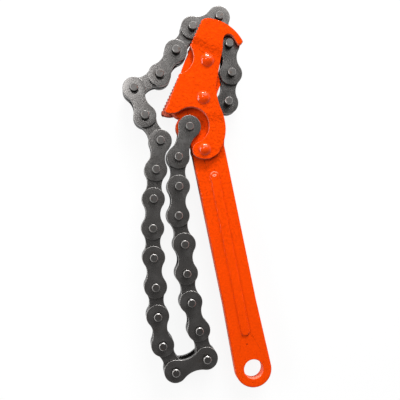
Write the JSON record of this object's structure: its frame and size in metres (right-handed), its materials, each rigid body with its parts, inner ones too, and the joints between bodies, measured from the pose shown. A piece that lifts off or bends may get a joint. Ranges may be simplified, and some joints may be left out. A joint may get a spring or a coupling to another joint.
{
  "type": "chain oil filter wrench",
  "caption": "Flat steel handle with two toothed, hooked jaw plates and a looped link chain that wraps an oil filter and catches in the hook.",
  "frame": {"origin": "centre of the hanging hole in the handle's end, midway through the handle's thickness", "axes": "+Y up the handle towards the jaws, +Z along the hanging hole and all chain pins, towards the face the picture shows, +X to the right of it; the tool lies flat"},
  "size_m": [0.0988, 0.2521, 0.0182],
  "materials": {
    "orange_paint": "gloss",
    "chain_steel": "satin",
    "pin_steel": "satin"
  },
  "bodies": {
    "wrench": {"handle": "orange_paint", "front_jaw": "orange_paint", "rear_jaw": "orange_paint", "upper_rivet": "orange_paint", "middle_rivet": "orange_paint", "arm_rivet": "orange_paint"},
    "link_01": {"outer_plates_01": "chain_steel", "pins_01": "pin_steel"},
    "link_02": {"inner_plates_02": "chain_steel", "bushes_02": "chain_steel"},
    "link_03": {"outer_plates_03": "chain_steel", "pins_03": "pin_steel"},
    "link_04": {"inner_plates_04": "chain_steel", "bushes_04": "chain_steel"},
    "link_05": {"outer_plates_05": "chain_steel", "pins_05": "pin_steel"},
    "link_06": {"inner_plates_06": "chain_steel", "bushes_06": "chain_steel"},
    "link_07": {"outer_plates_07": "chain_steel", "pins_07": "pin_steel"},
    "link_08": {"inner_plates_08": "chain_steel", "bushes_08": "chain_steel"},
    "link_09": {"outer_plates_09": "chain_steel", "pins_09": "pin_steel"},
    "link_10": {"inner_plates_10": "chain_steel", "bushes_10": "chain_steel"},
    "link_11": {"outer_plates_11": "chain_steel", "pins_11": "pin_steel"},
    "link_12": {"inner_plates_12": "chain_steel", "bushes_12": "chain_steel"},
    "link_13": {"outer_plates_13": "chain_steel", "pins_13": "pin_steel"},
    "link_14": {"inner_plates_14": "chain_steel", "bushes_14": "chain_steel"},
    "link_15": {"outer_plates_15": "chain_steel", "pins_15": "pin_steel"},
    "link_16": {"inner_plates_16": "chain_steel", "bushes_16": "chain_steel"},
    "link_17": {"outer_plates_17": "chain_steel", "pins_17": "pin_steel"},
    "link_18": {"inner_plates_18": "chain_steel", "bushes_18": "chain_steel"},
    "link_19": {"outer_plates_19": "chain_steel", "pins_19": "pin_steel"},
    "link_20": {"inner_plates_20": "chain_steel", "bushes_20": "chain_steel"},
    "link_21": {"outer_plates_21": "chain_steel", "pins_21": "pin_steel"},
    "link_22": {"inner_plates_22": "chain_steel", "bushes_22": "chain_steel"},
    "link_23": {"outer_plates_23": "chain_steel", "pins_23": "pin_steel"},
    "link_24": {"inner_plates_24": "chain_steel", "bushes_24": "chain_steel"},
    "link_25": {"outer_plates_25": "chain_steel", "pins_25": "pin_steel"},
    "link_26": {"inner_plates_26": "chain_steel", "bushes_26": "chain_steel", "end_pin": "pin_steel"}
  },
  "joints": [
    {"name": "anchor_pivot", "type": "hinge", "parent": "wrench", "child": "link_01", "pos_m": [-0.0096, 0.1654, 0], "axis": [0, 0, -1], "range_deg": [0, 19.8]},
    {"name": "pivot_01", "type": "hinge", "parent": "link_01", "child": "link_02", "pos_m": [-0.02094, 0.14725, 0], "axis": [0, 0, -1], "range_deg": [0, 9.43]},
    {"name": "pivot_02", "type": "hinge", "parent": "link_02", "child": "link_03", "pos_m": [-0.02458, 0.12855, 0], "axis": [0, 0, -1], "range_deg": [-8.6, 0]},
    {"name": "pivot_03", "type": "hinge", "parent": "link_03", "child": "link_04", "pos_m": [-0.0287, 0.10995, 0], "axis": [0, 0, -1], "range_deg": [0, 17.47]},
    {"name": "pivot_04", "type": "hinge", "parent": "link_04", "child": "link_05", "pos_m": [-0.02853, 0.0909, 0], "axis": [0, 0, -1], "range_deg": [0, 18.91]},
    {"name": "pivot_05", "type": "hinge", "parent": "link_05", "child": "link_06", "pos_m": [-0.03102, 0.07202, 0], "axis": [0, 0, -1], "range_deg": [0, 17.23]},
    {"name": "pivot_06", "type": "hinge", "parent": "link_06", "child": "link_07", "pos_m": [-0.03202, 0.05299, 0], "axis": [0, 0, -1], "range_deg": [0, 12.88]},
    {"name": "pivot_07", "type": "hinge", "parent": "link_07", "child": "link_08", "pos_m": [-0.03069, 0.03399, 0], "axis": [0, 0, -1], "range_deg": [0, 16.54]},
    {"name": "hook_pivot", "type": "hinge", "parent": "wrench", "child": "link_24", "pos_m": [0.027, 0.2136, 0], "axis": [0, 0, -1], "range_deg": [-1.13, 0]},
    {"name": "pivot_23", "type": "hinge", "parent": "link_24", "child": "link_23", "pos_m": [0.02418, 0.23244, 0], "axis": [0, 0, -1], "range_deg": [0, 13.21]},
    {"name": "pivot_22", "type": "hinge", "parent": "link_23", "child": "link_22", "pos_m": [0.00548, 0.22881, 0], "axis": [0, 0, -1], "range_deg": [0, 75.93]},
    {"name": "pivot_21", "type": "hinge", "parent": "link_22", "child": "link_21", "pos_m": [-0.00833, 0.21569, 0], "axis": [0, 0, -1], "range_deg": [-35.03, 0]},
    {"name": "pivot_20", "type": "hinge", "parent": "link_21", "child": "link_20", "pos_m": [-0.02192, 0.20234, 0], "axis": [0, 0, -1], "range_deg": [-61.81, 0]},
    {"name": "pivot_19", "type": "hinge", "parent": "link_20", "child": "link_19", "pos_m": [-0.04009, 0.19661, 0], "axis": [0, 0, -1], "range_deg": [0, 95.6]},
    {"name": "pivot_18", "type": "hinge", "parent": "link_19", "child": "link_18", "pos_m": [-0.03678, 0.17785, 0], "axis": [0, 0, -1], "range_deg": [0, 17.68]},
    {"name": "pivot_17", "type": "hinge", "parent": "link_18", "child": "link_17", "pos_m": [-0.03027, 0.15995, 0], "axis": [0, 0, -1], "range_deg": [-59.3, 0]},
    {"name": "pivot_16", "type": "hinge", "parent": "link_17", "child": "link_16", "pos_m": [-0.03694, 0.14211, 0], "axis": [0, 0, -1], "range_deg": [-8.73, 0]},
    {"name": "pivot_15", "type": "hinge", "parent": "link_16", "child": "link_15", "pos_m": [-0.04235, 0.12384, 0], "axis": [0, 0, -1], "range_deg": [-3, 0]},
    {"name": "pivot_14", "type": "hinge", "parent": "link_15", "child": "link_14", "pos_m": [-0.04663, 0.10528, 0], "axis": [0, 0, -1], "range_deg": [-4.19, 0]},
    {"name": "pivot_13", "type": "hinge", "parent": "link_14", "child": "link_13", "pos_m": [-0.04994, 0.08652, 0], "axis": [0, 0, -1], "range_deg": [-13.77, 0]},
    {"name": "pivot_12", "type": "hinge", "parent": "link_13", "child": "link_12", "pos_m": [-0.05259, 0.06765, 0], "axis": [0, 0, -1], "range_deg": [-24.57, 0]},
    {"name": "pivot_11", "type": "hinge", "parent": "link_12", "child": "link_11", "pos_m": [-0.05508, 0.04877, 0], "axis": [0, 0, -1], "range_deg": [0, 8.08]},
    {"name": "pivot_10", "type": "hinge", "parent": "link_11", "child": "link_10", "pos_m": [-0.05574, 0.02973, 0], "axis": [0, 0, -1], "range_deg": [0, 14.12]},
    {"name": "pivot_09", "type": "hinge", "parent": "link_10", "child": "link_09", "pos_m": [-0.05101, 0.01128, 0], "axis": [0, 0, -1], "range_deg": [0, 48.71]},
    {"name": "tail_pivot", "type": "hinge", "parent": "wrench", "child": "link_25", "pos_m": [0.027, 0.2136, 0], "axis": [0, 0, 1], "range_deg": [0, 110]},
    {"name": "tail_end_pivot", "type": "hinge", "parent": "link_25", "child": "link_26", "pos_m": [0.02468, 0.19469, 0], "axis": [0, 0, 1], "range_deg": [0, 90]}
  ],
  "couplings": [
    {"joint": "pivot_01", "follows": "anchor_pivot", "ratio": 0.47625},
    {"joint": "pivot_02", "follows": "anchor_pivot", "ratio": -0.43423},
    {"joint": "pivot_03", "follows": "anchor_pivot", "ratio": 0.88208},
    {"joint": "pivot_04", "follows": "anchor_pivot", "ratio": 0.95471},
    {"joint": "pivot_05", "follows": "anchor_pivot", "ratio": 0.8699},
    {"joint": "pivot_06", "follows": "anchor_pivot", "ratio": 0.65006},
    {"joint": "pivot_07", "follows": "anchor_pivot", "ratio": 0.83501},
    {"joint": "hook_pivot", "follows": "anchor_pivot", "ratio": -0.056669},
    {"joint": "pivot_23", "follows": "anchor_pivot", "ratio": 0.66668},
    {"joint": "pivot_22", "follows": "anchor_pivot", "ratio": 3.8344},
    {"joint": "pivot_21", "follows": "anchor_pivot", "ratio": -1.7688},
    {"joint": "pivot_20", "follows": "anchor_pivot", "ratio": -3.1214},
    {"joint": "pivot_19", "follows": "anchor_pivot", "ratio": 4.8282},
    {"joint": "pivot_18", "follows": "anchor_pivot", "ratio": 0.89257},
    {"joint": "pivot_17", "follows": "anchor_pivot", "ratio": -2.9949},
    {"joint": "pivot_16", "follows": "anchor_pivot", "ratio": -0.44061},
    {"joint": "pivot_15", "follows": "anchor_pivot", "ratio": -0.15132},
    {"joint": "pivot_14", "follows": "anchor_pivot", "ratio": -0.21133},
    {"joint": "pivot_13", "follows": "anchor_pivot", "ratio": -0.69518},
    {"joint": "pivot_12", "follows": "anchor_pivot", "ratio": -1.2409},
    {"joint": "pivot_11", "follows": "anchor_pivot", "ratio": 0.40796},
    {"joint": "pivot_10", "follows": "anchor_pivot", "ratio": 0.71309},
    {"joint": "pivot_09", "follows": "anchor_pivot", "ratio": 2.4601}
  ]
}
